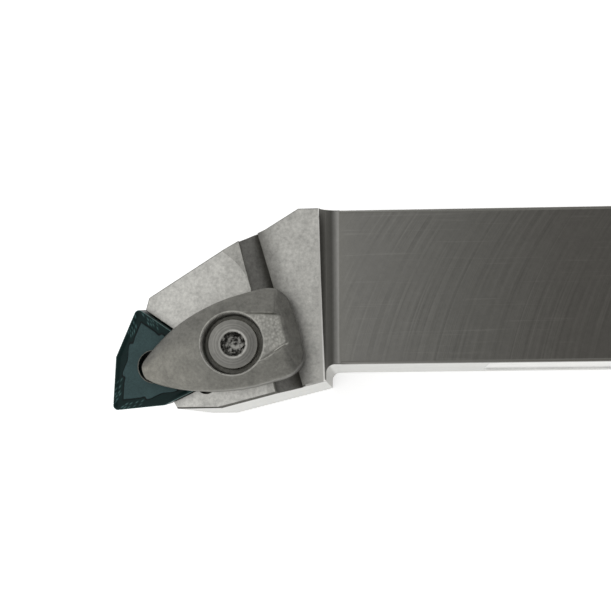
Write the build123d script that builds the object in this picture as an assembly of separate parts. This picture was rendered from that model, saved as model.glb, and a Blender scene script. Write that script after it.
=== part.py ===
from build123d import *
import math
import os

# Right-hand turning tool holder with a square shank and a trigon insert held by a top clamp.
# Millimetres. The base face lies on z = 0, the shank runs along X with its head at -X, and
# the origin is on the base face, on the shank's centre plane, half way along the tool.

# ---- Shank ----
shank_width = 25.0
shank_height = 25.0
overall_length = 150.0
shank_edge_chamfer = 0.4
shank_end_chamfer = 1.0
panel_height = 19.0            # marking panel milled in the near side, left bare
panel_depth = 0.3
panel_base = 4.5               # base to the panel's lower edge
panel_start = 60.7             # from the cutting tip
panel_length = 68.0
panel_corner_radius = 1.5

# ---- Cutting geometry ----
functional_width = 32.0        # far side of the shank to the cutting tip
cutting_height = 25.0          # base to the cutting tip
lead_angle = 95.0
rake_angle = 6.0               # the insert's plane rises by this towards +X and towards +Y

# ---- Trigon insert ----
inscribed_circle = 12.7
insert_thickness = 4.76
insert_hole_diameter = 5.16
nose_radius = 0.8
corner_angle = 80.0
edge_land = 0.3
chip_groove_slope = 0.7        # plan width of the groove's falling side
chip_groove_floor = 0.5
chip_groove_depth = 0.25
hole_chamfer = 0.35

# ---- Shim and its screw ----
shim_thickness = 3.18
shim_inset = 0.5               # the shim is smaller than the insert all round
shim_edge_chamfer = 0.2
shim_screw_diameter = 4.0
shim_screw_length = 9.0
shim_head_diameter = 6.6
shim_head_angle = 45.0
shim_head_rim = 0.5
shim_head_recess = 0.2         # screw's head below the shim's top face
shim_socket_lobe_depth = 0.325
shim_socket_depth = 1.25
shim_socket_size = 2.6

# ---- Head of the holder ----
head_top_drop = 1.5            # head's top face below the insert's plane
pocket_land_drop = 1.8         # milled land round the pocket below the insert's plane
land_corner_radius = 8.9
land_rear = 4.9                # screw to the land's rear edge, along the clamp
land_far = 17.5                # screw to the land's far edge, across the clamp
head_length = 36.9             # tip to the end of the fillet on the shank's top
head_wall_angle = 14.0         # head's rear wall leans forward from upright
head_fillet_radius = 3.3
block_near_rise = 1.2          # lowest corner of the block behind the slot above the shank
block_angle = 3.0              # the block's top rises by this towards +X and towards +Y
shoulder_lead = 2.4            # shoulder on the near side in front of the fillet's end
shoulder_step = 2.7            # head's near side outside the shank's side at the shoulder
shoulder_fillet_radius = 1.4
bevel_angle = 31.0
bevel_start = 30.3             # tip to where the far-side bevel leaves the shank's side
front_bevel_step = 0.3         # front part of the bevel stands proud of the rear part
front_face_inset = 1.45        # front face of the nose inside the insert's edge
outer_face_inset = 1.05
side_face_inset = 0.9
front_face_lean = 6.0
near_flat_clearance = 0.15     # near side of the nose inside the cutting tip
near_flat_front = 10.35        # tip to the flat's front corner
near_flat_rear = 17.6          # tip to the flat's rear corner
nose_blunt_reach = 4.2         # tip to the blunted corner of the nose, along its diagonal
near_corner_facing = 208.0     # way that the cut at the flat's front corner faces
head_edge_chamfer = 0.25

# ---- Insert pocket ----
pocket_wall_gap = 0.05
pocket_back_gap = 0.6
pocket_back_overlap = 0.4      # back of the pocket over the outline of the insert
corner_relief_radius = 1.6
corner_relief_shift = 1.1
corner_relief_turn = 35.0

# ---- Clamp ----
clamp_angle = 15.0             # clamp's axis turned from the shank's axis
screw_reach = 20.15            # tip to the clamp screw, along the shank
screw_offset = 9.97            # tip to the clamp screw, across the shank
clamp_nose_length = 15.5       # screw to the end of the nose
clamp_tail_length = 10.4
clamp_half_width = 7.25
nose_tip_half_width = 1.3
nose_tip_bulge = 0.3
nose_root = 4.2                # end of the nose to where it starts to swell
nose_root_half_width = 3.9
flank_middle = 8.0             # end of the nose to the middle of the flank
flank_half_width = 5.45
screw_half_width = 7.1
tail_round = 5.0               # length of the tail's rounded corners
tail_corner = 1.7              # middle of the corner in front of the tail's end
tail_corner_half_width = 6.6
tail_flat_half_width = 3.35
tail_bulge = 0.15
clamp_crown_height = 34.4      # above the base
clamp_nose_height = 1.6        # top of the nose above the insert
dome_margin = 0.5              # domed top wider than the clamp's plan
nose_dome_drop = 0.9           # crown to the side of the dome, from the nose to the tail
root_dome_drop = 1.5
flank_dome_drop = 2.2
crown_dome_drop = 2.6
nose_root_rise = 0.34          # share of the crown's rise that is reached there
flank_rise = 0.72
crown_sag = 0.15
tail_slope_start = 7.8         # screw to the start of the slope behind the crown
tail_slope_fall = 3.6
tail_slope_round = 2.0         # radius between the crown and the slope
clamp_counterbore_radius = 4.85
clamp_seat_height = 29.4       # screw head's seat above the base
channel_depth = 1.0
channel_taper = 18.0           # each side of the channel closes in by this
nose_pin_radius = 1.7
nose_pin_depth = 1.6
nose_pin_clearance = 0.1
clamp_insert_gap = 0.1
clamp_belly_gap = 0.3          # clamp above the head's top face
clamp_insert_margin = 0.8      # clamp's belly clears the insert's sides by this
spring_seat_depth = 0.5        # flat for the spring above the clamp's belly

# ---- Slot with a ramp for the clamp's heel ----
slot_front = 4.5               # screw to the slot's front edge
slot_width = 3.9
slot_front_turn = 2.0          # the slot's walls open towards the near side by these
slot_rear_turn = 1.0
slot_lip = 0.5
ramp_angle = 30.0
heel_gap = 0.5
heel_half_width = 6.0
heel_root_height = 3.0         # heel's top inside the clamp, above the head's top face

# ---- Clamp screw ----
screw_diameter = 5.0
screw_neck_diameter = 4.2
screw_head_diameter = 7.9
screw_head_height = 2.6
screw_head_cone = 0.25         # head's top rises by this to its socket
screw_length = 20.0            # under the head
screw_thread_length = 9.0
screw_end_chamfer = 0.6
screw_head_chamfer = 0.5
screw_seat_chamfer = 0.3
screw_hole_extra = 1.5
drill_point_angle = 118.0
thread_clearance = 0.06
neck_clearance = 0.35
head_seat_gap = 0.05
socket_diameter = 3.8
socket_lobe_depth = 0.5
socket_depth = 1.8
socket_chamfer = 0.45

# ---- Spring and retaining ring ----
spring_wire = 0.8
spring_inner_radius = 3.25
spring_turns = 4.5
spring_pocket_depth = 5.0      # below the head's top face at the screw
spring_side_gap = 0.3
spring_end_gap = 0.05
ring_thickness = 0.6
ring_radius = 3.0
ring_groove_depth = 0.35
ring_opening = 50.0
ring_gap = 0.1

big = 4 * overall_length       # size of the blocks that stand for half-spaces

# ---- Places worked out from the sizes above ----
tip = Vector(-overall_length / 2, shank_width / 2 - functional_width, cutting_height)
half_corner = math.radians(corner_angle / 2)
rake = math.tan(math.radians(rake_angle))
corner_direction = lead_angle + 180 - (90 - corner_angle / 2)
insert_radius = inscribed_circle / 2
clamp_direction = Vector(1, 0, 0).rotate(Axis.Z, clamp_angle)
clamp_across = Vector(0, 1, 0).rotate(Axis.Z, clamp_angle)
screw_x = tip.X + screw_reach
screw_y = tip.Y + screw_offset


def rake_height(x, y, offset=0.0):
    """Height of the insert's plane, or of a plane beside it, over a point of the base."""
    return tip.Z + rake * (x - tip.X) + rake * (y - tip.Y) + offset


def rake_plane(x, y, offset=0.0):
    """Plane parallel to the insert's top face, with its x axis above the shank's axis."""
    origin = (x, y, rake_height(x, y, offset))
    return Plane(origin=origin, x_dir=(1, 0, rake), z_dir=(-rake, -rake, 1))


def insert_centre():
    """Plan position of the insert's hole, which puts the rounded corner at the cutting tip."""
    plane = rake_plane(tip.X, tip.Y)
    reach = (insert_radius - nose_radius) / math.sin(half_corner)
    away = math.radians(corner_direction + 180)
    step = plane.x_dir * reach * math.cos(away) + plane.y_dir * reach * math.sin(away)
    rounding = nose_radius * plane.x_dir.X
    return tip.X + rounding + step.X, tip.Y + rounding + step.Y


centre_x, centre_y = insert_centre()
insert_plane = rake_plane(centre_x, centre_y)


def screw_top_plane(offset=0.0):
    return rake_height(screw_x, screw_y, offset)


def clamp_point(along, across, height=0.0):
    """Point given along and across the clamp from its screw, at a height above the base."""
    spot = clamp_direction * along + clamp_across * across
    return Vector(screw_x + spot.X, screw_y + spot.Y, height)


clamp_frame = Plane(origin=(screw_x, screw_y, 0), x_dir=clamp_direction, z_dir=(0, 0, 1))


def trigon(inset=0.0, radius=nose_radius):
    """Six-sided outline with three 80 degree corners, one of them at the cutting tip."""
    inner = insert_radius - inset
    corner = inner / math.sin(half_corner)
    flat = inner / math.cos(math.radians(60) - (math.pi / 2 - half_corner))
    points = []
    for step in range(6):
        angle = math.radians(corner_direction + 60 * step)
        reach = corner if step % 2 == 0 else flat
        points.append((reach * math.cos(angle), reach * math.sin(angle)))
    face = make_face(Polyline(*points, close=True))
    if radius <= 0:
        return face
    sharp = face.vertices().sort_by(lambda v: -v.center().length)[0:3]
    return fillet(sharp, radius)


def beyond(point, facing, lean=0.0):
    """Half-space outside an upright face through a point, facing an angle in plan.
    The lean carries the face inwards towards its foot."""
    outward = Vector(1, 0, 0).rotate(Axis.Z, facing)
    along = Vector(0, 0, 1).cross(outward)
    normal = outward.rotate(Axis((0, 0, 0), tuple(along)), lean)
    face = Plane(origin=point, x_dir=along, z_dir=normal)
    return face * Box(big, big, big, align=(Align.CENTER, Align.CENTER, Align.MIN))


def above(plane):
    """Half-space above a plane."""
    return plane * Box(big, big, big, align=(Align.CENTER, Align.CENTER, Align.MIN))


def edge_point(facing, inset):
    """Point on an edge of the insert, moved inwards, from the way that the edge faces."""
    angle = math.radians(facing)
    reach = insert_radius - inset
    x = centre_x + reach * math.cos(angle)
    y = centre_y + reach * math.sin(angle)
    return Vector(x, y, rake_height(x, y))


# ---- Holder body ----
def head_outline():
    """Plan of the head, from the far side round the nose to the shoulder."""
    far = shank_width / 2
    slope = math.radians(bevel_angle)
    rear_x = tip.X + bevel_start
    slot_rear = clamp_point(slot_front + slot_width, 0)
    # The rear bevel stops behind the slot and the front bevel starts in front of it.
    rear_stop_x = slot_rear.X - far * math.tan(math.radians(clamp_angle))
    rear_stop_y = far - (rear_x - rear_stop_x) * math.tan(slope)
    step_x = rear_stop_x - slot_width / 2
    step_y = rear_stop_y - (rear_stop_x - step_x) * math.tan(slope) + front_bevel_step
    front_x = tip.X
    front_y = step_y - (step_x - front_x) * math.tan(slope)
    flat_y = tip.Y + near_flat_clearance
    flat_x = tip.X + near_flat_rear
    shoulder_x = tip.X + head_length - shoulder_lead
    shoulder_y = -shank_width / 2 - shoulder_step
    outline = make_face(
        Polyline(
            (tip.X + head_length, far),
            (rear_x, far),
            (rear_stop_x, rear_stop_y),
            (step_x, step_y),
            (front_x, front_y),
            (tip.X, flat_y),
            (flat_x, flat_y),
            (shoulder_x, shoulder_y),
            (shoulder_x, -shank_width / 2),
            (tip.X + head_length, -shank_width / 2),
            close=True,
        )
    )
    inner = outline.vertices().sort_by(
        lambda v: (v.center() - Vector(shoulder_x, -shank_width / 2)).length
    )[0]
    return fillet(inner, shoulder_fillet_radius)


def shank_bar():
    length = overall_length - head_length
    bar = Box(
        length,
        shank_width,
        shank_height,
        align=(Align.MAX, Align.CENTER, Align.MIN),
    )
    bar = Pos(overall_length / 2, 0, 0) * bar
    end = bar.faces().sort_by(Axis.X)[-1]
    bar = chamfer(end.edges(), shank_end_chamfer)
    long_edges = bar.edges().filter_by(Axis.X).filter_by(lambda e: e.length > length / 2)
    return chamfer(long_edges, shank_edge_chamfer)


def head_rear_wall():
    """Space over the shank's top, ending in the head's leaning wall and its root fillet."""
    turn = math.radians(90 - head_wall_angle) / 2
    foot = tip.X + head_length - head_fillet_radius * math.tan(turn)
    rise = shank_height
    lean = rise * math.tan(math.radians(head_wall_angle))
    right = overall_length
    outline = make_face(
        Polyline(
            (foot, shank_height),
            (foot - lean, shank_height + rise),
            (right, shank_height + rise),
            (right, shank_height),
            close=True,
        )
    )
    root = outline.vertices().sort_by(Axis.X).filter_by_position(
        Axis.Y, shank_height, shank_height
    )[0]
    outline = fillet(root, head_fillet_radius)
    return extrude(Plane.XZ * outline, amount=shank_width * 2, both=True)


def nose_faces():
    """Half-spaces in front of the nose, which keep it inside the insert's edges."""
    lean = front_face_lean
    lead_facing = lead_angle + 180
    front_facing = lead_facing - (180 - corner_angle)
    outer_facing = front_facing - (corner_angle - 60)
    front = beyond(edge_point(front_facing, front_face_inset), front_facing, lean)
    outer = beyond(edge_point(outer_facing, outer_face_inset), outer_facing, lean)
    corner = tip - Vector(1, 0, 0).rotate(Axis.Z, corner_direction) * nose_blunt_reach
    blunt = beyond(corner, corner_direction, lean)
    side = beyond(edge_point(lead_facing, side_face_inset), lead_facing, lean)
    flat_corner = tip + Vector(near_flat_front, 0, 0)
    return [front, outer, blunt, side & beyond(flat_corner, near_corner_facing, lean)]


def pocket_land():
    """Milled land round the pocket: all of the head's front, with a rounded rear corner."""
    plane = rake_plane(screw_x, screw_y, -pocket_land_drop)
    outline = make_face(
        Polyline(
            (land_rear, -big / 8),
            (land_rear, land_far),
            (-big / 8, land_far),
            (-big / 8, -big / 8),
            close=True,
        )
    )
    corner = outline.vertices().sort_by(lambda v: v.center().length)[0]
    outline = fillet(corner, land_corner_radius)
    turned = plane * Rot(0, 0, clamp_angle) * outline
    return extrude(turned, amount=big / 8, dir=(0, 0, 1))


def heel_slot():
    """Slot across the head, its floor a ramp that falls away from the insert."""
    top = screw_top_plane(-head_top_drop)
    rise = rake * (clamp_direction.X + clamp_direction.Y)
    front_z = top + rise * slot_front - slot_lip
    fall = math.tan(math.radians(ramp_angle))
    down = Vector(clamp_direction.X, clamp_direction.Y, -fall)
    run = slot_run()
    floor = clamp_point(slot_front, 0, front_z)
    ramp = Plane(origin=floor, x_dir=run, z_dir=down.cross(run))
    front = beyond(clamp_point(slot_front, 0), clamp_angle - slot_front_turn)
    rear = beyond(clamp_point(slot_front + slot_width, 0), clamp_angle + 180 + slot_rear_turn)
    return front & rear & above(ramp)


def slot_run():
    """Way along the slot, level with the insert's plane."""
    across_slope = rake * (clamp_across.X + clamp_across.Y)
    return Vector(clamp_across.X, clamp_across.Y, across_slope)


def slot_prism(points, half_length):
    """Prism along the slot from a profile of (distance from the screw, height) points."""
    run = slot_run()
    corners = [clamp_point(along, 0, height) for along, height in points]
    profile = make_face(Polyline(*corners, close=True))
    length = half_length * run.length
    return extrude(profile, amount=length, dir=run) + extrude(profile, amount=length, dir=-run)


def insert_pocket():
    """Room for the shim and the insert, tight on two walls, with a relieved inner corner."""
    depth = insert_thickness + shim_thickness
    floor = Plane(
        origin=insert_plane.origin - insert_plane.z_dir * depth,
        x_dir=insert_plane.x_dir,
        z_dir=insert_plane.z_dir,
    )
    room = extrude(floor * trigon(-pocket_wall_gap, 0), amount=big / 8)
    corner_reach = insert_radius / math.sin(half_corner) - corner_relief_shift / 2
    corner = Vector(corner_reach, 0, 0).rotate(Axis.Z, corner_direction + 120)
    corner = corner - Vector(corner_relief_shift, 0, 0).rotate(Axis.Z, corner_relief_turn)
    relief = floor * Pos(corner.X, corner.Y, 0) * Cylinder(
        corner_relief_radius, big / 8, align=(Align.CENTER, Align.CENTER, Align.MIN)
    )
    back_facing = corner_direction + 120 + (90 - corner_angle / 2)
    shift = Vector(pocket_back_gap, 0, 0).rotate(Axis.Z, back_facing)
    behind = floor * Pos(shift.X, shift.Y, 0) * trigon(pocket_back_overlap, 0)
    front = floor * Rot(0, 0, corner_direction) * Rectangle(
        big / 8, insert_radius, align=(Align.MIN, Align.CENTER)
    )
    room += extrude(behind, amount=big / 8)
    room += extrude(front, amount=big / 8)
    return room + relief


def screw_hole():
    """Threaded hole for the clamp screw, with the spring's pocket at its mouth."""
    seat = clamp_seat_height - head_seat_gap
    bottom = seat - screw_length - screw_hole_extra
    radius = screw_diameter / 2 + thread_clearance
    mouth = screw_top_plane(-head_top_drop)
    hole = Pos(screw_x, screw_y, bottom) * Cylinder(
        radius, shank_height, align=(Align.CENTER, Align.CENTER, Align.MIN)
    )
    pocket = Pos(screw_x, screw_y, mouth - spring_pocket_depth) * Cylinder(
        spring_pocket_radius(), shank_height, align=(Align.CENTER, Align.CENTER, Align.MIN)
    )
    point_height = radius / math.tan(math.radians(drill_point_angle / 2))
    drill_point = Pos(screw_x, screw_y, bottom) * Cone(
        0, radius, point_height, align=(Align.CENTER, Align.CENTER, Align.MAX)
    )
    return hole + pocket + drill_point


def spring_pocket_radius():
    return spring_inner_radius + spring_wire + spring_side_gap


def shim_screw_hole():
    depth = insert_thickness + shim_thickness + shim_screw_length
    return insert_plane * Cylinder(
        shim_screw_diameter / 2 + thread_clearance,
        depth + screw_hole_extra,
        align=(Align.CENTER, Align.CENTER, Align.MAX),
    )


def marking_panel():
    """Shallow milled panel with rounded corners on the shank's near side."""
    centre = tip.X + panel_start + panel_length / 2
    middle = panel_base + panel_height / 2
    plane = Plane(origin=(centre, -shank_width / 2, middle), x_dir=(1, 0, 0), z_dir=(0, -1, 0))
    outline = RectangleRounded(panel_length, panel_height, panel_corner_radius)
    return extrude(plane * outline, amount=-panel_depth)


def near_top_edges(body):
    """Top edges of the head's near side, from the nose to the shoulder."""
    found = []
    for face in body.faces().filter_by(GeomType.PLANE):
        outward = face.normal_at()
        upright = abs(outward.Z) < 0.01 and outward.Y < -0.9
        if not upright or face.center().X > tip.X + head_length - shoulder_lead:
            continue
        for edge in face.edges():
            level = abs((edge % 0.5).Z) < math.sin(math.radians(ramp_angle)) / 2
            if level and edge.center().Z > shank_height / 2:
                found.append(edge)
    return found


def block_top():
    """Space over the block behind the slot, whose top is lowest at its near rear corner."""
    slope = math.tan(math.radians(block_angle))
    corner_x = tip.X + head_length - shoulder_lead
    corner_y = -shank_width / 2 - shoulder_step
    corner = (corner_x, corner_y, shank_height + block_near_rise)
    top = Plane(origin=corner, x_dir=(1, 0, slope), z_dir=(-slope, -slope, 1))
    return above(top) & beyond(clamp_point(slot_front + slot_width / 2, 0), clamp_angle)


def holder_body():
    head = extrude(head_outline(), amount=shank_height * 2)
    head = head - above(rake_plane(screw_x, screw_y, -head_top_drop)) - block_top()
    body = head - head_rear_wall() + shank_bar()
    for space in nose_faces():
        body = body - space
    body = body - pocket_land()
    body = body - heel_slot()
    body = chamfer(near_top_edges(body), head_edge_chamfer)
    body = body - insert_pocket()
    body = body - shim_screw_hole()
    body = body - screw_hole()
    return body - marking_panel()


# ---- Insert, shim and shim screw ----
def chip_groove(face_height, down):
    """Chip-breaking groove round one face: a sloping side, a floor and a raised middle."""
    outer = trigon(edge_land, nose_radius - edge_land)
    floor_inset = edge_land + chip_groove_slope
    lower = trigon(floor_inset, nose_radius / 4)
    start = Pos(0, 0, face_height)
    foot = Pos(0, 0, face_height - down * chip_groove_depth)
    sunk = loft([start * outer, foot * lower])
    middle_inset = floor_inset + chip_groove_floor
    middle_foot = trigon(middle_inset, nose_radius / 4)
    middle_top = trigon(middle_inset + chip_groove_slope, nose_radius / 4)
    middle = loft([foot * middle_foot, start * middle_top])
    return sunk - middle


def insert():
    body = extrude(trigon(), amount=-insert_thickness)
    body = body - chip_groove(0, 1)
    body = body - chip_groove(-insert_thickness, -1)
    bore = Cylinder(insert_hole_diameter / 2, 4 * insert_thickness)
    body = body - bore
    mouths = body.edges().filter_by(GeomType.CIRCLE).filter_by(
        lambda e: abs(e.radius - insert_hole_diameter / 2) < 1e-3
    )
    body = chamfer(mouths, hole_chamfer)
    return insert_plane * body


def shim_seat_depth():
    """Depth of the countersink in the shim, from its rim to the screw's shank."""
    width = shim_head_diameter / 2 - shim_screw_diameter / 2
    return width / math.tan(math.radians(shim_head_angle))


def shim():
    body = extrude(trigon(shim_inset), amount=-shim_thickness)
    top_edges = body.faces().sort_by(Axis.Z)[-1].edges()
    body = chamfer(top_edges, shim_edge_chamfer)
    gap = thread_clearance
    rim = shim_head_rim + shim_head_recess
    bore = Cylinder(shim_screw_diameter / 2 + gap, 4 * shim_thickness)
    mouth = Cylinder(
        shim_head_diameter / 2 + gap, rim, align=(Align.CENTER, Align.CENTER, Align.MAX)
    )
    sink = Pos(0, 0, -rim) * Cone(
        shim_screw_diameter / 2 + gap,
        shim_head_diameter / 2 + gap,
        shim_seat_depth(),
        align=(Align.CENTER, Align.CENTER, Align.MAX),
    )
    body = body - bore - mouth - sink
    return insert_plane * Pos(0, 0, -insert_thickness) * body


def shim_screw():
    rim = shim_head_recess
    head = Pos(0, 0, -rim) * Cylinder(
        shim_head_diameter / 2, shim_head_rim, align=(Align.CENTER, Align.CENTER, Align.MAX)
    )
    cone = Pos(0, 0, -rim - shim_head_rim) * Cone(
        shim_screw_diameter / 2,
        shim_head_diameter / 2,
        shim_seat_depth(),
        align=(Align.CENTER, Align.CENTER, Align.MAX),
    )
    length = shim_thickness + shim_screw_length - rim
    shank = Pos(0, 0, -rim) * Cylinder(
        shim_screw_diameter / 2, length, align=(Align.CENTER, Align.CENTER, Align.MAX)
    )
    body = head + cone + shank
    outline = six_lobes(shim_socket_size / 2, shim_socket_lobe_depth)
    socket = Pos(0, 0, -rim) * extrude(outline, amount=-shim_socket_depth)
    return insert_plane * Pos(0, 0, -insert_thickness) * (body - socket)


def six_lobes(radius, lobe_depth):
    """Six-lobe socket outline: round lobes with hollows between them."""
    face = Circle(radius - lobe_depth)
    for step in range(6):
        face += Rot(0, 0, 60 * step) * Pos(radius - lobe_depth, 0) * Circle(lobe_depth)
    return face


# ---- Clamp ----
def clamp_outline():
    """Teardrop plan of the clamp: blunt nose, bowed flanks and a broad rounded tail."""
    nose = -clamp_nose_length
    tail = clamp_tail_length
    nose_corner = (nose + nose_tip_bulge, nose_tip_half_width)
    widest = (tail - tail_round, clamp_half_width)
    tail_end = (tail, tail_flat_half_width)
    flank = Spline(
        nose_corner,
        (nose + nose_root, nose_root_half_width),
        (nose + flank_middle, flank_half_width),
        (0, screw_half_width),
        widest,
        tangents=[(1, 1), (1, 0)],
    )
    corner = Spline(
        widest,
        (tail - tail_corner, tail_corner_half_width),
        tail_end,
        tangents=[(1, 0), (0, -1)],
    )
    end = ThreePointArc(tail_end, (tail + tail_bulge, 0), (tail, -tail_flat_half_width))
    front = ThreePointArc(
        nose_corner, (nose, 0), (nose + nose_tip_bulge, -nose_tip_half_width)
    )
    near = [mirror(line, about=Plane.XZ) for line in (flank, corner)]
    return make_face([flank, corner, end, front] + near)


def dome_section(along, half_width, crown, drop):
    """Cross-section of the clamp's domed top at a distance along it from its screw."""
    side = crown - drop
    plane = Plane(origin=(along, 0, 0), x_dir=(0, 1, 0), z_dir=(1, 0, 0))
    base = cutting_height - shank_height / 4
    outline = [
        Line((-half_width, side), (-half_width, base)),
        Line((-half_width, base), (half_width, base)),
        Line((half_width, base), (half_width, side)),
        ThreePointArc((half_width, side), (0, crown), (-half_width, side)),
    ]
    return plane * make_face(outline)


def clamp_dome():
    """Domed top, lofted through cross-sections from the nose to the tail."""
    crown = clamp_crown_height
    nose = -clamp_nose_length
    nose_top = rake_height(centre_x, centre_y) + clamp_nose_height
    rise = crown - nose_top
    wide = clamp_half_width + dome_margin
    nose_wide = nose_root_half_width + dome_margin / 2
    flank_wide = flank_half_width + dome_margin * 1.5
    stations = [
        dome_section(nose - dome_margin, nose_wide / 2, nose_top, nose_dome_drop),
        dome_section(nose + nose_root, nose_wide, nose_top + rise * nose_root_rise, root_dome_drop),
        dome_section(nose + flank_middle, flank_wide, nose_top + rise * flank_rise, flank_dome_drop),
        dome_section(0, wide, crown - crown_sag, crown_dome_drop),
        dome_section(slot_front, wide, crown, crown_dome_drop),
        dome_section(clamp_tail_length + 2 * dome_margin, wide, crown, crown_dome_drop),
    ]
    return loft(stations)


def clamp_tail_slope():
    """Space behind the slope that falls, after a rounding, from the crown to the tail's end."""
    start = tail_slope_start
    crown = clamp_crown_height
    reach = clamp_tail_length - start
    side = make_face(
        Polyline(
            (start - tail_slope_round, crown),
            (start, crown),
            (start + 2 * reach, crown - 2 * tail_slope_fall),
            (start + 2 * reach, crown + reach),
            (start - tail_slope_round, crown + reach),
            close=True,
        )
    )
    turn = side.vertices().sort_by(lambda v: (v.center() - Vector(start, crown)).length)[0]
    side = fillet(turn, tail_slope_round)
    return extrude(clamp_frame * Plane.XZ * side, amount=2 * clamp_half_width, both=True)


def clamp_heel():
    """Heel that drops from the clamp's tail on to the ramp of the slot."""
    top = screw_top_plane(-head_top_drop)
    rise = rake * (clamp_direction.X + clamp_direction.Y)
    fall = math.tan(math.radians(ramp_angle))
    front = slot_front + heel_gap
    rear = slot_front + slot_width - heel_gap
    lip = top + rise * slot_front - slot_lip + heel_gap
    root = top + heel_root_height
    points = [
        (front, lip - heel_gap * fall),
        (rear, lip - (slot_width - heel_gap) * fall),
        (rear, root),
        (front, root),
    ]
    return slot_prism(points, heel_half_width)


def insert_room():
    """Room under the clamp for the insert, its sides and its front."""
    outline = trigon(-clamp_insert_margin, 0)
    room = extrude(outline, amount=clamp_insert_gap) + extrude(outline, amount=-insert_thickness)
    front = Rot(0, 0, corner_direction) * Box(
        big / 8,
        insert_radius * 2,
        2 * clamp_insert_gap,
        align=(Align.MIN, Align.CENTER, Align.CENTER),
    )
    return insert_plane * (room + front)


def clamp_shell():
    """Outer form of the clamp above the head: its plan carried up to the domed top."""
    outline = clamp_frame * clamp_outline()
    body = extrude(outline, amount=clamp_crown_height * 1.5) & (clamp_frame * clamp_dome())
    body = body - clamp_tail_slope()
    belly = rake_plane(screw_x, screw_y, -head_top_drop + clamp_belly_gap)
    return body - belly * Box(big, big, big, align=(Align.CENTER, Align.CENTER, Align.MAX))


def clamp():
    body = clamp_shell() - insert_room()
    body = body + (clamp_heel() & extrude(clamp_frame * clamp_outline(), amount=clamp_crown_height))
    body = body + clamp_pin()
    counterbore = Pos(screw_x, screw_y, clamp_seat_height) * Cylinder(
        clamp_counterbore_radius, shank_height, align=(Align.CENTER, Align.CENTER, Align.MIN)
    )
    hole = Pos(screw_x, screw_y, cutting_height) * Cylinder(
        screw_diameter / 2 + neck_clearance, 2 * shank_height
    )
    return body - counterbore - hole - clamp_spring_seat() - clamp_channel()


def clamp_pin():
    """Pin under the nose that drops into the insert's hole and draws it into the pocket."""
    lean = rake * math.sqrt(2) * nose_pin_depth
    shift = insert_hole_diameter / 2 - nose_pin_radius - nose_pin_clearance - lean
    place = Vector(centre_x, centre_y, 0) + clamp_direction * shift
    floor = rake_height(place.X, place.Y) - nose_pin_depth
    return Pos(place.X, place.Y, floor) * Cylinder(
        nose_pin_radius,
        nose_pin_depth + clamp_nose_height / 2,
        align=(Align.CENTER, Align.CENTER, Align.MIN),
    )


def clamp_spring_top():
    """Height of the flat that the spring bears on."""
    return screw_top_plane(-head_top_drop) + clamp_belly_gap + spring_seat_depth


def clamp_spring_seat():
    return Pos(screw_x, screw_y, clamp_spring_top()) * Cylinder(
        spring_pocket_radius(), spring_pocket_depth, align=(Align.CENTER, Align.CENTER, Align.MAX)
    )


def clamp_channel():
    """Shallow channel that leaves the counterbore by its tangents and closes in to the tail."""
    taper = math.radians(channel_taper)
    wide = clamp_counterbore_radius / math.cos(taper)
    narrow = wide - clamp_tail_length * math.tan(taper)
    outline = make_face(
        Polyline(
            (0, wide),
            (clamp_tail_length, narrow),
            (clamp_tail_length, -narrow),
            (0, -wide),
            close=True,
        )
    )
    floor = clamp_crown_height - channel_depth
    return clamp_frame * Pos(0, 0, floor) * extrude(outline, amount=shank_height)


# ---- Clamp screw, retaining ring and spring ----
def clamp_screw():
    seat = clamp_seat_height + head_seat_gap
    radius = screw_head_diameter / 2
    top = screw_head_height
    low = -screw_length
    neck = screw_neck_diameter / 2
    thread = screw_diameter / 2
    thread_top = low + screw_thread_length
    rim = top + screw_head_cone
    groove_top = ring_top() - seat
    groove_low = groove_top - ring_thickness - 2 * ring_gap
    groove = neck - ring_groove_depth
    profile = make_face(
        Polyline(
            (0, low),
            (thread - screw_end_chamfer, low),
            (thread, low + screw_end_chamfer),
            (thread, thread_top),
            (neck, thread_top + (thread - neck)),
            (neck, groove_low),
            (groove, groove_low),
            (groove, groove_top),
            (neck, groove_top),
            (neck, 0),
            (radius - screw_seat_chamfer, 0),
            (radius, screw_seat_chamfer),
            (radius, top - screw_head_chamfer),
            (radius - screw_head_chamfer, top),
            (socket_diameter / 2 + socket_chamfer, rim),
            (0, rim),
            close=True,
        )
    )
    body = revolve(Plane.XZ * profile, axis=Axis.Z)
    mouth = Pos(0, 0, rim) * Cone(
        socket_diameter / 2 - socket_lobe_depth,
        socket_diameter / 2 + socket_chamfer,
        socket_chamfer + socket_lobe_depth,
        align=(Align.CENTER, Align.CENTER, Align.MAX),
    )
    socket = Pos(0, 0, rim) * extrude(
        six_lobes(socket_diameter / 2, socket_lobe_depth), amount=-socket_depth - socket_chamfer
    )
    return Pos(screw_x, screw_y, seat) * (body - mouth - socket)


def ring_top():
    """Top of the groove for the retaining ring, just under the clamp."""
    return clamp_spring_top() - ring_gap


def retaining_ring():
    """Open spring ring that snaps into the screw's neck and keeps the screw in the clamp."""
    inner = screw_neck_diameter / 2 - ring_groove_depth + ring_gap / 2
    face = Circle(ring_radius) - Circle(inner)
    reach = 2 * ring_radius
    half = reach * math.tan(math.radians(ring_opening / 2))
    wedge = make_face(Polyline((0, 0), (reach, half), (reach, -half), close=True))
    body = extrude(face - wedge, amount=ring_thickness)
    return Pos(screw_x, screw_y, ring_top() - ring_gap - ring_thickness) * body


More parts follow.
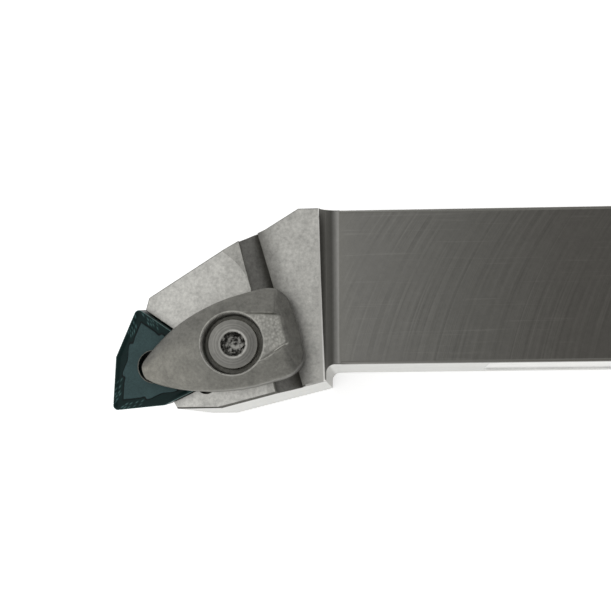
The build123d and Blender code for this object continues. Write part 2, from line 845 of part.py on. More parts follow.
def clamp_spring():
    """Coil spring round the screw, between its pocket and the clamp, with flat ends."""
    low = screw_top_plane(-head_top_drop) - spring_pocket_depth + spring_end_gap
    height = clamp_spring_top() - spring_end_gap - low
    radius = spring_inner_radius + spring_wire / 2
    pitch = (height - spring_wire / 2) / spring_turns
    path = Helix(pitch, height - spring_wire / 2, radius)
    start = Plane(origin=path @ 0, z_dir=path % 0)
    coil = sweep(start * Circle(spring_wire / 2), path=path, is_frenet=True)
    coil = Pos(0, 0, spring_wire / 4) * coil
    slab = Cylinder(2 * radius, height, align=(Align.CENTER, Align.CENTER, Align.MIN))
    return Pos(screw_x, screw_y, low) * (coil & slab)


def build():
    os.makedirs("parts", exist_ok=True)
    nodes = {
        "holder_body": holder_body,
        "insert": insert,
        "shim": shim,
        "shim_screw": shim_screw,
        "clamp": clamp,
        "clamp_screw": clamp_screw,
        "retaining_ring": retaining_ring,
        "clamp_spring": clamp_spring,
    }
    for name, make in nodes.items():
        shape = make()
        export_step(shape, f"parts/{name}.step")
        print(name, round(shape.volume, 1), len(shape.solids()))


build()
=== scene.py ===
import math

import bmesh
import bpy
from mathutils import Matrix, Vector


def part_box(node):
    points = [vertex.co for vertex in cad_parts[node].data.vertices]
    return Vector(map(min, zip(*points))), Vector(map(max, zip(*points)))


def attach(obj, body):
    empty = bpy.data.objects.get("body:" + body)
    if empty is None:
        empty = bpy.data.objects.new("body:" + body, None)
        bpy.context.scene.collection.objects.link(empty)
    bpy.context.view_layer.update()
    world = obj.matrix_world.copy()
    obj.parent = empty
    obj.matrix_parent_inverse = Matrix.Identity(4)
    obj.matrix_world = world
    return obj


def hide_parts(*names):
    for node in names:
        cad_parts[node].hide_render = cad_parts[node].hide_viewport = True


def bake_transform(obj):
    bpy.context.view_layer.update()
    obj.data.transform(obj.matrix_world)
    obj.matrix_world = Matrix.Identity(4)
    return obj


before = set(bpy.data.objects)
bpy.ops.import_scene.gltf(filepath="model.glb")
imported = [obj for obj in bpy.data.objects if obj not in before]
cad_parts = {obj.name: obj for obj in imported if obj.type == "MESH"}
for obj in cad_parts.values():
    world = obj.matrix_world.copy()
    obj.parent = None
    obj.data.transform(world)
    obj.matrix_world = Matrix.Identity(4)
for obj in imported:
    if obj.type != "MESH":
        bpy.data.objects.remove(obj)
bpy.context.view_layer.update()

# Turning tool holder with a top-clamped trigon insert. Lengths below are in millimetres.
MM = 0.001

# ---- Tool and shank ----
TIP = Vector((-75.0, -19.5, 25.0))
SHANK_TOP = 25.0
SHANK_NEAR = -12.5
PANEL_DEPTH = 0.3
PANEL_TOP = 23.5
RAKE = math.tan(math.radians(6.0))
FACE_MILL_RADIUS = 66.0
FACE_MILL_ASIDE = 27.0          # its centre's path beside the shank's middle

# ---- Insert ----
CORNER_DIRECTION = 225.0
INSERT_RADIUS = 6.35
INSERT_THICKNESS = 4.76
INSERT_HOLE = 2.58
NOSE_RADIUS = 0.8
HALF_CORNER = math.radians(40.0)
GROOVE_DEPTH = 0.24
GROOVE_REACH = 1.55             # edge to the flat face, on average
WAVE_HEIGHT = 0.36
WAVE_LENGTH = 3.3
WAVE_START = 6.2
DOT_ROWS = ((0.42, 1.05, 5), (0.95, 1.5, 4))    # inset, place of the first, count
DOT_PITCH = 0.72
DOT_HEIGHT = 0.1
DOT_SPREAD = 0.024

# ---- Clamp, screw and spring ----
SCREW_CROWN = 0.25
SCREW_HEAD_HEIGHT = 2.6
SCREW_HEAD = 3.95
SCREW_NECK = 2.1
SOCKET_RADIUS = 1.84            # over its lobes
SOCKET_MOUTH = 1.92
SOCKET_CHAMFER = 2.27
SOCKET_DEPTH = 2.2
SCREW_GROOVE = 1.75
SCREW_LENGTH = 20.0             # from the head's seat
THREAD_RADIUS = 2.5
THREAD_LENGTH = 9.0
THREAD_DEPTH = 0.42
THREAD_PITCH = 0.8
COIL_RADIUS = 3.65
COIL_TURNS = 5.5
WIRE_RADIUS = 0.395
WIRE_ROOM = 0.4                 # the wire's middle from either end of the spring
CLAMP_BORE = 5.0
CHANNEL_FLOOR = 33.4
CHANNEL_TAPER = 0.325
CLAMP_TURN = math.radians(15.0)

screw_low, screw_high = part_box("clamp_screw")
SCREW = (Vector(screw_low) + Vector(screw_high)) / 2 / MM
SCREW_SEAT = screw_high[2] / MM - SCREW_HEAD_HEIGHT - SCREW_CROWN
SCREW_ALONG = SCREW.x * math.cos(CLAMP_TURN) + SCREW.y * math.sin(CLAMP_TURN)
SCREW_ACROSS = SCREW.y * math.cos(CLAMP_TURN) - SCREW.x * math.sin(CLAMP_TURN)
SPRING_LOW, SPRING_HIGH = (corner[2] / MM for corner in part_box("clamp_spring"))

# ---- Head of the holder. Distances along the clamp start at the screw. ----
BLOCK_END = -41.5               # where the head's finish gives way to the root fillet
FILLET_START = -43.5            # ahead of the fillet's wall on the far side
FILLET_END = -37.9
FULL_HEIGHT_LEVEL = (-1.62, -1.3)       # above the insert's face
SLOT_FRONT = 4.3
SLOT_REAR = 8.6
BLOCK_EDGE = 41.077             # the block's rear top edge is x + slope * y + this = 0
BLOCK_EDGE_SLOPE = 0.0204
EDGE_BREAK = 0.12
FAR_FLANK_POINT = Vector((-54.19, 7.1, 28.0))
FAR_FLANK_OUT = Vector((-0.5151, 0.8571, 0.0))
FAR_FLANK_EXTRA = 0.35
FAR_FLANK_START = -51.9
FAR_FLANK_FULL = -56.0
SLOT_BREAKOUT = Vector((-52.81, 7.93, 26.79))
LEDGE_POINT = Vector((-52.37, 6.14, 26.7))

# ---- Finishes and painted light and shade, as sRGB ----
WHITE = "#ffffff"
PAPER = "#f2f2f2"
LAND_TIP = "#bbbab5"
LAND_FAR = "#bebdb8"
LAND = "#b3b2ad"
LAND_NEAR_LIGHT = "#c2c1bc"
BLOCK = "#afaea9"
BLOCK_SHADE = "#6c6b67"
FACET_SHADE = "#9c9b96"
FILLET_SHADE = "#5c5b57"
FILLET_HIGHLIGHT = "#a09f9b"
SHANK_ROOT = "#7d7c77"
SHANK_HEAD_END = "#777672"
SHANK_MIDDLE = "#676662"
SHANK_REAR = "#5a5854"
SHANK_END = "#54524e"
SATIN = "#a5a49f"
NEAR_SIDE_LIGHT = "#cdcdc9"
PANEL = "#e2e2df"
PANEL_BRIM_SHADE = "#a4a4a1"
PANEL_STEP_LIGHT = "#f0f0ee"
SLOT_SHADE = "#757470"
SLOT_WALL_SHADE = "#53524e"
NEAR_EDGE_SHADE = "#4c4b47"
BROKEN_EDGE_SHADE = "#6f6e69"
EDGE_HIGHLIGHT = "#dad9d5"
CLAMP_NOSE = "#8c8a82"
CLAMP_BODY = "#7c7b75"
CLAMP_FAR_FLANK_SHADE = "#6f6e69"
CLAMP_TAIL_SHADE = "#605f5b"
CLAMP_EDGE_HIGHLIGHT = "#a3a29c"
CHANNEL_CAST = "#9b9a94"
BORE_WALL_LIGHT = "#dad9d3"
INSERT_EDGE_HIGHLIGHT = "#5b7775"
INSERT_BAND_SHADE = "#041e1d"
INSERT_FOOT_SHADE = "#020c0c"
INSERT_FACE = "#344849"
INSERT_DOT_HIGHLIGHT = "#4f6f6e"
INSERT_RING_HIGHLIGHT = "#a8a79f"
SCREW_DARK = "#757470"
SCREW_LIGHT = "#8a8984"
SOCKET_CHAMFER_HIGHLIGHT = "#b9b8b3"
SOCKET_SHADE = "#2a2927"
SOCKET_LIGHT = "#9c9b96"
CARBIDE_GREYS = ("#565658", "#707072")
OILED_GREYS = ("#444443", "#62615f")
BLUED_GREYS = ("#35363d", "#50525c")
WIRE_GREYS = ("#757574", "#92918f")


# ---- Small helpers ----
def srgb(code):
    """Linear RGBA from an sRGB hex colour."""
    parts = [int(code[i:i + 2], 16) / 255 for i in (1, 3, 5)]
    linear = [p / 12.92 if p <= 0.04045 else ((p + 0.055) / 1.055) ** 2.4 for p in parts]
    return (*linear, 1.0)


def add(tree, kind, settings=None, links=None):
    """Adds one node. Settings are its properties or input values, links feed its inputs."""
    node = tree.nodes.new(kind)
    for name, value in (settings or {}).items():
        if isinstance(name, str) and hasattr(node, name):
            setattr(node, name, value)
        else:
            node.inputs[name].default_value = value
    for name, output in (links or {}).items():
        tree.links.new(output, node.inputs[name])
    return node


def new_material(name):
    material = bpy.data.materials.new(name)
    material.use_nodes = True
    material.node_tree.nodes.clear()
    return material, material.node_tree


def placed(name, mesh):
    """Object that shows a mesh."""
    piece = bpy.data.objects.new(name, mesh)
    bpy.context.scene.collection.objects.link(piece)
    return piece


def taken(carrier):
    """Mesh of a carrier with its modifiers applied. The carrier goes."""
    graph = bpy.context.evaluated_depsgraph_get()
    mesh = bpy.data.meshes.new_from_object(carrier.evaluated_get(graph))
    bpy.data.objects.remove(carrier)
    return mesh


def mesh_object(name, vertices, faces, material, smooth_angle):
    """Closed mesh piece from millimetre points, its normals set outwards."""
    mesh = bpy.data.meshes.new(name)
    mesh.from_pydata([Vector(v) * MM for v in vertices], [], faces)
    piece = placed(name, mesh)
    clean_shell(mesh, smooth_angle)
    mesh.materials.append(material)
    return piece


def clean_shell(mesh, smooth_angle):
    """Joins doubles, turns faces outwards and marks edges sharper than the angle, in degrees."""
    shell = bmesh.new()
    shell.from_mesh(mesh)
    bmesh.ops.remove_doubles(shell, verts=shell.verts, dist=1e-7)
    bmesh.ops.recalc_face_normals(shell, faces=shell.faces)
    limit = math.radians(smooth_angle)
    for face in shell.faces:
        face.smooth = True
    for edge in shell.edges:
        edge.smooth = len(edge.link_faces) == 2 and edge.calc_face_angle() < limit
    shell.to_mesh(mesh)
    shell.free()


def skin(rings, closed=False):
    """Vertices and faces of a skin over rings of equal length. An open one gets two end fans."""
    count = len(rings[0])
    vertices = [point for ring in rings for point in ring]
    faces = []
    last = len(rings) if closed else len(rings) - 1
    for i in range(last):
        near = i * count
        far = ((i + 1) % len(rings)) * count
        for j in range(count):
            k = (j + 1) % count
            faces.append((near + j, near + k, far + k, far + j))
    if not closed:
        for ring, start in ((rings[0], 0), (rings[-1], (len(rings) - 1) * count)):
            vertices.append(sum((Vector(p) for p in ring), Vector()) / count)
            centre = len(vertices) - 1
            faces += [(start + j, start + (j + 1) % count, centre) for j in range(count)]
    return vertices, faces


def smooth_step(low, high, value):
    t = min(max((value - low) / (high - low), 0.0), 1.0)
    return t * t * (3 - 2 * t)


# ---- Parts that the materials share ----
def millimetres(tree):
    """Place on the piece in millimetres, and the way its surface faces."""
    place = add(tree, "ShaderNodeTexCoord")
    scaled = add(
        tree,
        "ShaderNodeVectorMath",
        {"operation": "SCALE", "Scale": 1 / MM},
        {0: place.outputs["Object"]},
    )
    return scaled.outputs[0], place.outputs["Normal"]


def about_screw(tree, position):
    """Place from the screw's axis, its height, and the distance from that axis."""
    shift = (-SCREW.x, -SCREW.y, 0.0)
    centred = add(tree, "ShaderNodeMapping", {"Location": shift}, {"Vector": position})
    x, y, z = add(tree, "ShaderNodeSeparateXYZ", links={0: centred.outputs[0]}).outputs
    level = add(tree, "ShaderNodeCombineXYZ", links={0: x, 1: y})
    radius = add(tree, "ShaderNodeVectorMath", {"operation": "LENGTH"}, {0: level.outputs[0]})
    return centred.outputs[0], z, radius.outputs["Value"]


def mask(tree, *ranges, also=()):
    """1 where each value lies in its range, otherwise 0, times everything in also. A range is
    (value, low, high, softness of its ends), and None leaves an end open."""
    factors = list(also)
    for value, low, high, soft in ranges:
        ends = [(low - soft, low + soft)] if low is not None else []
        ends += [(high + soft, high - soft)] if high is not None else []
        for none, all_of_it in ends:
            bounds = {"From Min": none, "From Max": all_of_it}
            edge = add(tree, "ShaderNodeMapRange", bounds, {"Value": value})
            factors.append(edge.outputs[0])
    total = factors[0]
    for factor in factors[1:]:
        both = add(tree, "ShaderNodeMath", {"operation": "MULTIPLY"}, {0: total, 1: factor})
        total = both.outputs[0]
    return total


def weighted_sum(tree, first, first_share, second, second_share, offset=0.0):
    """first * first_share + second * second_share + offset."""
    part = add(
        tree,
        "ShaderNodeMath",
        {"operation": "MULTIPLY_ADD", 1: second_share, 2: offset},
        {0: second},
    )
    whole = add(
        tree,
        "ShaderNodeMath",
        {"operation": "MULTIPLY_ADD", 1: first_share},
        {0: first, 2: part.outputs[0]},
    )
    return whole.outputs[0]


def graded(tree, value, stops, span=(0.0, 1.0)):
    """Colour that runs through (value, sRGB) stops as a value crosses its span."""
    low, high = span
    share = add(tree, "ShaderNodeMapRange", {"From Min": low, "From Max": high}, {"Value": value})
    ramp = add(tree, "ShaderNodeValToRGB", links={"Fac": share.outputs[0]})
    elements = ramp.color_ramp.elements
    while len(elements) < len(stops):
        elements.new(0.5)
    for element, (where, colour) in zip(elements, stops):
        element.position = (where - low) / (high - low)
        element.color = srgb(colour)
    return ramp.outputs["Color"]


def layered(tree, colour, *layers):
    """Colours laid one over another: (mask, sRGB or a node's colour) for each layer."""
    for where, over in layers:
        settings = {"data_type": "RGBA"}
        links = {"Factor": where, "A": colour}
        if isinstance(over, str):
            settings["B"] = srgb(over)
        else:
            links["B"] = over
        colour = add(tree, "ShaderNodeMix", settings, links).outputs["Result"]
    return colour


def shaded(tree, settings, colour, tone, relief, depth, rough=None):
    """The end of a material: its colour times its tone, and its relief as a bump whose depth
    is (strength, metres)."""
    scaled = colour
    if tone is not None:
        toned = add(
            tree, "ShaderNodeVectorMath", {"operation": "SCALE"}, {0: colour, "Scale": tone}
        )
        scaled = toned.outputs[0]
    strength, distance = depth
    bump = add(
        tree, "ShaderNodeBump", {"Strength": strength, "Distance": distance}, {"Height": relief}
    )
    links = {"Base Color": scaled, "Normal": bump.outputs["Normal"]}
    if rough is not None:
        links["Roughness"] = rough
    shader = add(tree, "ShaderNodeBsdfPrincipled", settings, links)
    add(tree, "ShaderNodeOutputMaterial", links={"Surface": shader.outputs[0]})


# ---- Materials ----
def face_mill_arcs(tree, x, y, position):
    """Marks of one large face mill fed along the shank: arcs about a millimetre apart, which
    come and go in patches."""
    beside = add(tree, "ShaderNodeMath", {"operation": "ADD", 1: FACE_MILL_ASIDE}, {0: y})
    square = add(
        tree,
        "ShaderNodeMath",
        {"operation": "MULTIPLY"},
        {0: beside.outputs[0], 1: beside.outputs[0]},
    )
    left = add(
        tree,
        "ShaderNodeMath",
        {"operation": "SUBTRACT", 0: FACE_MILL_RADIUS ** 2},
        {1: square.outputs[0]},
    )
    root = add(tree, "ShaderNodeMath", {"operation": "SQRT"}, {0: left.outputs[0]})
    feed = add(tree, "ShaderNodeMath", {"operation": "ADD"}, {0: x, 1: root.outputs[0]})
    arcs = add(
        tree,
        "ShaderNodeTexNoise",
        {"noise_dimensions": "1D", "Scale": 1.1, "Detail": 4.0, "Roughness": 0.75},
        {"W": feed.outputs[0]},
    )
    arc_tone = add(
        tree,
        "ShaderNodeMapRange",
        {"From Min": 0.3, "From Max": 0.7, "To Min": -1.0, "To Max": 1.0},
        {"Value": arcs.outputs["Fac"]},
    )
    patches = add(
        tree, "ShaderNodeTexNoise", {"Scale": 0.08, "Detail": 2.0}, {"Vector": position}
    )
    arc_share = add(
        tree,
        "ShaderNodeMapRange",
        {"From Min": 0.35, "From Max": 0.7, "To Min": 0.03, "To Max": 0.2},
        {"Value": patches.outputs["Fac"]},
    )
    marks = add(
        tree,
        "ShaderNodeMath",
        {"operation": "MULTIPLY"},
        {0: arc_share.outputs[0], 1: arc_tone.outputs[0]},
    )
    return marks.outputs[0]


def drawn_marks(tree, position, way, noise, strength):
    """Marks drawn out along the shank. Way turns and stretches them, noise sets their grain,
    and strength is (from low, from high, to low, to high)."""
    stretched = add(tree, "ShaderNodeMapping", way, {"Vector": position})
    lines = add(tree, "ShaderNodeTexNoise", noise, {"Vector": stretched.outputs[0]})
    limits = dict(zip(("From Min", "From Max", "To Min", "To Max"), strength))
    tone = add(tree, "ShaderNodeMapRange", limits, {"Value": lines.outputs["Fac"]})
    return tone.outputs[0]


def plated_steel_body():
    """Tool steel, milled all over and nickel plated: satin with a fine mottle, with the cutter's
    arcs on the shank's top and its edges broken by tumbling. Painted shade darkens the shank's
    top towards its end, the slot, the root fillet and the broken edges; painted light brightens
    the land and the near side, with a painted highlight along the block's rear edge."""
    material, tree = new_material("milled satin nickel-plated steel")
    position, facing = millimetres(tree)
    x, y, z = add(tree, "ShaderNodeSeparateXYZ", links={0: position}).outputs
    facing_x, facing_y, facing_z = add(tree, "ShaderNodeSeparateXYZ", links={0: facing}).outputs
    along = weighted_sum(tree, x, math.cos(CLAMP_TURN), y, math.sin(CLAMP_TURN), -SCREW_ALONG)
    behind = weighted_sum(tree, x, 1.0, y, BLOCK_EDGE_SLOPE, BLOCK_EDGE)
    plane = weighted_sum(tree, x, -RAKE, y, -RAKE, RAKE * (TIP.x + TIP.y) - TIP.z)
    above_face = add(tree, "ShaderNodeMath", {"operation": "ADD"}, {0: plane, 1: z}).outputs[0]
    broken = add(tree, "ShaderNodeAttribute", {"attribute_name": "broken"}).outputs["Fac"]

    head = mask(tree, (x, None, BLOCK_END, 0.05))
    flat_up = mask(tree, (facing_z, 0.97, None, 0.01))
    top_side = mask(tree, (z, SHANK_TOP - 0.5, None, 0.2))
    shank_top = mask(tree, (x, FILLET_END + 0.4, None, 0.6), also=(flat_up, top_side))
    upright = mask(tree, (facing_z, -0.5, 0.5, 0.1))
    near = mask(tree, (facing_y, None, -0.8, 0.08))
    sunk = mask(tree, (y, SHANK_NEAR + PANEL_DEPTH / 2, -10.0, 0.04), also=(near,))

    # Painted light and shade along the tool on the faces that look up: the land and block
    #  lighter, the shank's top painted darker, most towards its end.
    light_and_shade_along_tool = (
        (-80.0, LAND_TIP),
        (-62.0, LAND_FAR),
        (-54.0, LAND),
        (-48.0, BLOCK),
        (-39.0, BLOCK),
        (-38.6, SHANK_ROOT),
        (-35.0, SHANK_HEAD_END),
        (-19.0, SHANK_MIDDLE),
        (-1.5, SHANK_REAR),
        (20.0, SHANK_END),
        (80.0, SHANK_END),
    )
    # Painted shade against the wall, with a painted highlight where the fillet runs out.
    fillet_shading = (
        (0.03, FILLET_HIGHLIGHT),
        (0.12, FILLET_HIGHLIGHT),
        (0.42, FILLET_SHADE),
        (1.0, FILLET_SHADE),
    )
    # Painted shade in the slot, darkest along its two walls.
    slot_shade_across = (
        (SLOT_FRONT, SLOT_WALL_SHADE),
        (SLOT_FRONT + 0.22 * (SLOT_REAR - SLOT_FRONT), SLOT_SHADE),
        (SLOT_FRONT + 0.7 * (SLOT_REAR - SLOT_FRONT), SLOT_SHADE),
        (SLOT_REAR, SLOT_WALL_SHADE),
    )
    under_panel = mask(tree, (z, 1.0, 10.0, 0.1), (facing_z, 0.3, None, 0.1))
    root_fillet = mask(
        tree,
        (x, FILLET_START, FILLET_END, 0.1),
        (z, SHANK_TOP - 0.03, None, 0.01),
        (facing_x, 0.085, None, 0.02),
    )
    # Painted shade behind the slot: the block's top darkens towards the slot's rear edge.
    behind_slot = mask(
        tree, (along, 7.2, None, 0.1), (along, None, 9.7, 1.5), also=(flat_up, head)
    )
    in_slot = mask(
        tree,
        (along, SLOT_FRONT - 0.5, SLOT_REAR + 0.4, 0.05),
        (facing_z, 0.6, 0.965, 0.005),
        (z, 20.0, None, 0.1),
        also=(head,),
    )
    # Left at full height between the land and the slot; painted shade makes it darker than the
    # land.
    full_height = mask(
        tree, (above_face, *FULL_HEIGHT_LEVEL, 0.04), (along, None, 5.5, 0.1), also=(flat_up,)
    )
    # Painted light on the near part of the land.
    near_land = mask(tree, (y, None, -13.0, 2.0), (x, None, -50.0, 0.1), also=(flat_up,))
    # Painted shade along the land's near chamfer.
    near_edge = mask(
        tree,
        (facing_y, -0.9, -0.4, 0.05),
        (facing_z, 0.4, 0.9, 0.05),
        (x, None, -48.2, 0.1),
    )
    # Broken edges: painted shade all round, and a painted highlight where the block ends above
    # the fillet.
    edge_highlight = mask(
        tree,
        (behind, -0.14, 1.0, 0.04),
        (facing_x, -1.0, 0.6, 0.1),
        (z, 25.9, None, 0.1),
        (x, -44.0, -40.2, 0.05),
    )
    colour = layered(
        tree,
        graded(tree, x, light_and_shade_along_tool, (-80.0, 80.0)),
        (mask(tree, (facing_z, None, 0.35, 0.1)), SATIN),
        # Painted light on the near side.
        (near, NEAR_SIDE_LIGHT),
        (sunk, PANEL),
        # Painted shade under the panel's top step.
        (mask(tree, (z, PANEL_TOP - 0.4, PANEL_TOP + 0.5, 0.15), also=(sunk,)), PANEL_BRIM_SHADE),
        # Painted light on the step that faces up under the panel.
        (under_panel, PANEL_STEP_LIGHT),
        (root_fillet, graded(tree, facing_x, fillet_shading)),
        (behind_slot, BLOCK_SHADE),
        (in_slot, graded(tree, along, slot_shade_across, (SLOT_FRONT, SLOT_REAR))),
        (full_height, FACET_SHADE),
        (near_land, LAND_NEAR_LIGHT),
        (near_edge, NEAR_EDGE_SHADE),
        (mask(tree, also=(broken, top_side)), BROKEN_EDGE_SHADE),
        (edge_highlight, EDGE_HIGHLIGHT),
    )

    # Mottle of the plating over the tumbled steel, strongest on the head.
    grain = add(
        tree,
        "ShaderNodeTexNoise",
        {"Scale": 1.7, "Detail": 4.0, "Roughness": 0.7},
        {"Vector": position},
    ).outputs["Fac"]
    cloud = add(tree, "ShaderNodeTexNoise", {"Scale": 0.45, "Detail": 3.0}, {"Vector": position})
    mottle = weighted_sum(tree, grain, 1.0, cloud.outputs["Fac"], 0.4, -0.7)
    head_top = mask(tree, (facing_z, 0.5, None, 0.2), also=(head,))
    amount = add(
        tree, "ShaderNodeMapRange", {"To Min": 0.34, "To Max": 1.2}, {"Value": head_top}
    )
    arcs = mask(tree, also=(face_mill_arcs(tree, x, y, position), shank_top))
    side_mill_lines = drawn_marks(
        tree,
        position,
        {"Scale": (0.03, 1.0, 1.0)},
        {"Scale": 2.2, "Detail": 3.0, "Roughness": 0.6},
        (0.3, 0.7, -0.06, 0.06),
    )
    tool_post_scratches = drawn_marks(
        tree,
        position,
        {"Rotation": (0.0, 0.0, 0.03), "Scale": (0.05, 2.2, 1.0)},
        {"Scale": 1.3, "Detail": 2.0, "Roughness": 0.5},
        (0.62, 0.74, 0.0, 0.16),
    )
    tone = add(
        tree,
        "ShaderNodeMath",
        {"operation": "MULTIPLY_ADD", 2: 1.0},
        {0: mottle, 1: amount.outputs[0]},
    ).outputs[0]
    for marks in (
        arcs,
        mask(tree, also=(side_mill_lines, upright)),
        mask(tree, also=(tool_post_scratches, shank_top)),
    ):
        tone = add(tree, "ShaderNodeMath", {"operation": "ADD"}, {0: tone, 1: marks}).outputs[0]
    rough = add(tree, "ShaderNodeMapRange", {"To Min": 0.34, "To Max": 0.54}, {"Value": grain})
    relief = weighted_sum(tree, grain, 1.0, arcs, 2.0)
    shaded(tree, {"Metallic": 1.0}, colour, tone, relief, (0.12, 0.0001), rough.outputs[0])
    return material


def plain_metal(name, dark, light, roughness, grain_size, drawn):
    """A bare metal of one colour: a fine mottle, faint marks drawn out along one axis and
    roughness that wanders with them. Sizes in millimetres."""
    material, tree = new_material(name)
    position, _ = millimetres(tree)
    grain = add(
        tree,
        "ShaderNodeTexNoise",
        {"Scale": 1.0 / grain_size, "Detail": 5.0, "Roughness": 0.65},
        {"Vector": position},
    )
    stretched = add(tree, "ShaderNodeMapping", {"Scale": drawn}, {"Vector": position})
    marks = add(
        tree,
        "ShaderNodeTexNoise",
        {"Scale": 4.0, "Detail": 3.0},
        {"Vector": stretched.outputs[0]},
    )
    both = weighted_sum(tree, grain.outputs["Fac"], 0.55, marks.outputs["Fac"], 0.45)
    rough = add(
        tree,
        "ShaderNodeMapRange",
        {
            "From Min": 0.3,
            "From Max": 0.7,
            "To Min": roughness - 0.07,
            "To Max": roughness + 0.07,
        },
        {"Value": both},
    )
    colour = graded(tree, both, ((0.32, dark), (0.68, light)))
    shaded(tree, {"Metallic": 1.0}, colour, None, both, (0.15, 0.00005), rough.outputs[0])
    return material


def clamp_steel():
    """Forged and blackened clamp steel: dull and blotched, lighter towards the nose, with painted
     shade on the slope at its tail and on its far flank, painted light on the bore's wall,
     painted highlights along its edges, and paler where the channel's floor is cast rough."""
    material, tree = new_material("forged blackened clamp steel")
    position, facing = millimetres(tree)
    x, y, z = add(tree, "ShaderNodeSeparateXYZ", links={0: position}).outputs
    _, facing_y, facing_z = add(tree, "ShaderNodeSeparateXYZ", links={0: facing}).outputs
    _, _, radius = about_screw(tree, position)
    along = weighted_sum(tree, x, math.cos(CLAMP_TURN), y, math.sin(CLAMP_TURN), -SCREW_ALONG)
    across = weighted_sum(tree, x, -math.sin(CLAMP_TURN), y, math.cos(CLAMP_TURN), -SCREW_ACROSS)
    aside = add(tree, "ShaderNodeMath", {"operation": "ABSOLUTE"}, {0: across})
    spread = weighted_sum(tree, aside.outputs[0], 1.0, along, CHANNEL_TAPER)
    grain = add(
        tree,
        "ShaderNodeTexNoise",
        {"Scale": 2.0, "Detail": 5.0, "Roughness": 0.7},
        {"Vector": position},
    ).outputs["Fac"]
    cloud = add(
        tree, "ShaderNodeTexNoise", {"Scale": 0.45, "Detail": 3.0}, {"Vector": position}
    ).outputs["Fac"]
    blotches = weighted_sum(tree, grain, 1.0, cloud, 0.7, 0.15)

    # Lighter towards the nose, with painted shade on the slope at the tail.
    nose_to_tail = (
        (-16.0, CLAMP_NOSE),
        (-5.0, CLAMP_BODY),
        (7.0, CLAMP_BODY),
        (8.6, CLAMP_TAIL_SHADE),
        (12.0, CLAMP_TAIL_SHADE),
    )
    # The channel's floor is cast rough and pale; the bore's wall is machined and painted light.
    floor = mask(
        tree,
        (z, SCREW_SEAT, CHANNEL_FLOOR + 0.18, 0.05),
        (along, 2.0, 8.3, 0.3),
        (facing_z, 0.8, None, 0.1),
        (spread, None, CLAMP_BORE - 0.05, 0.15),
    )
    spots = add(
        tree, "ShaderNodeTexVoronoi", {"Scale": 2.4, "Randomness": 1.0}, {"Vector": position}
    ).outputs["Distance"]
    spot_tone = add(
        tree,
        "ShaderNodeMapRange",
        {"From Max": 0.8, "To Min": 1.25, "To Max": 0.8},
        {"Value": spots},
    )
    cast = add(
        tree,
        "ShaderNodeVectorMath",
        {"operation": "SCALE", 0: srgb(CHANNEL_CAST)[:3]},
        {"Scale": spot_tone.outputs[0]},
    )
    bore = mask(tree, (radius, None, CLAMP_BORE - 0.02, 0.05), (facing_z, None, 0.6, 0.2))
    # Painted highlights on the edges: even round the bore, and uneven along the channel, where
    #     # real wear and painted highlight mix.
    waver = weighted_sum(tree, cloud, 1.1, spread, 1.0, -0.55)
    channel_edge = mask(
        tree,
        (waver, CLAMP_BORE - 0.02, CLAMP_BORE + 0.2, 0.07),
        (across, -9.0, 0.0, 0.2),
        (along, 3.2, 8.6, 0.4),
        (z, CHANNEL_FLOOR - 0.1, None, 0.1),
    )
    bore_edge = mask(
        tree,
        (radius, CLAMP_BORE - 0.05, CLAMP_BORE + 0.12, 0.06),
        (z, CHANNEL_FLOOR - 2.4, None, 0.1),
        (facing_z, 0.3, None, 0.1),
    )
    colour = layered(
        tree,
        graded(tree, along, nose_to_tail, (-16.0, 12.0)),
        (floor, cast.outputs[0]),
        # Painted shade on the flank that faces the far side.
        (mask(tree, (facing_y, 0.1, 0.95, 0.08)), CLAMP_FAR_FLANK_SHADE),
        (bore, BORE_WALL_LIGHT),
        (channel_edge, CLAMP_EDGE_HIGHLIGHT),
        (bore_edge, CLAMP_EDGE_HIGHLIGHT),
    )
    pitted = weighted_sum(tree, grain, 1.0, mask(tree, also=(floor, spots)), 2.5)
    steel = {"Metallic": 0.9, "Roughness": 0.5}
    shaded(tree, steel, colour, blotches, pitted, (0.2, 0.00012))
    return material


def coated_carbide():
    """Cemented carbide under a dark green-black hard coating: satin, with painted shade that
    makes the chip breaker's groove near black, and a painted highlight as a thin pale line along
    the honed edge and round the hole."""
    material, tree = new_material("dark green coated carbide")
    position, _ = millimetres(tree)
    zone = add(tree, "ShaderNodeAttribute", {"attribute_name": "zone"})
    dots = add(tree, "ShaderNodeAttribute", {"attribute_name": "dots"})
    # Painted highlight at the honed edge, painted shade in the groove and at its foot, the face's
    # own colour, and a painted highlight round the hole.
    edge_to_hole = (
        (0.0, INSERT_EDGE_HIGHLIGHT),
        (0.6, INSERT_BAND_SHADE),
        (1.02, INSERT_BAND_SHADE),
        (1.25, INSERT_FOOT_SHADE),
        (1.6, INSERT_FOOT_SHADE),
        (1.95, INSERT_FACE),
        (2.6, INSERT_FACE),
        (3.0, INSERT_RING_HIGHLIGHT),
    )
    colour = layered(
        tree,
        graded(tree, zone.outputs["Fac"], edge_to_hole, (0.0, 3.0)),
        # Painted highlights on the raised dots.
        (dots.outputs["Fac"], INSERT_DOT_HIGHLIGHT),
    )
    grain = add(
        tree,
        "ShaderNodeTexNoise",
        {"Scale": 3.5, "Detail": 4.0, "Roughness": 0.7},
        {"Vector": position},
    ).outputs["Fac"]
    cloud = add(tree, "ShaderNodeTexNoise", {"Scale": 0.6, "Detail": 2.0}, {"Vector": position})
    tone = weighted_sum(tree, grain, 1.0, cloud.outputs["Fac"], 0.4, 0.3)
    rough = add(tree, "ShaderNodeMapRange", {"To Min": 0.3, "To Max": 0.5}, {"Value": grain})
    coating = {"Metallic": 0.0, "Specular IOR Level": 0.16}
    shaded(tree, coating, colour, tone, grain, (0.15, 0.00005), rough.outputs[0])
    return material


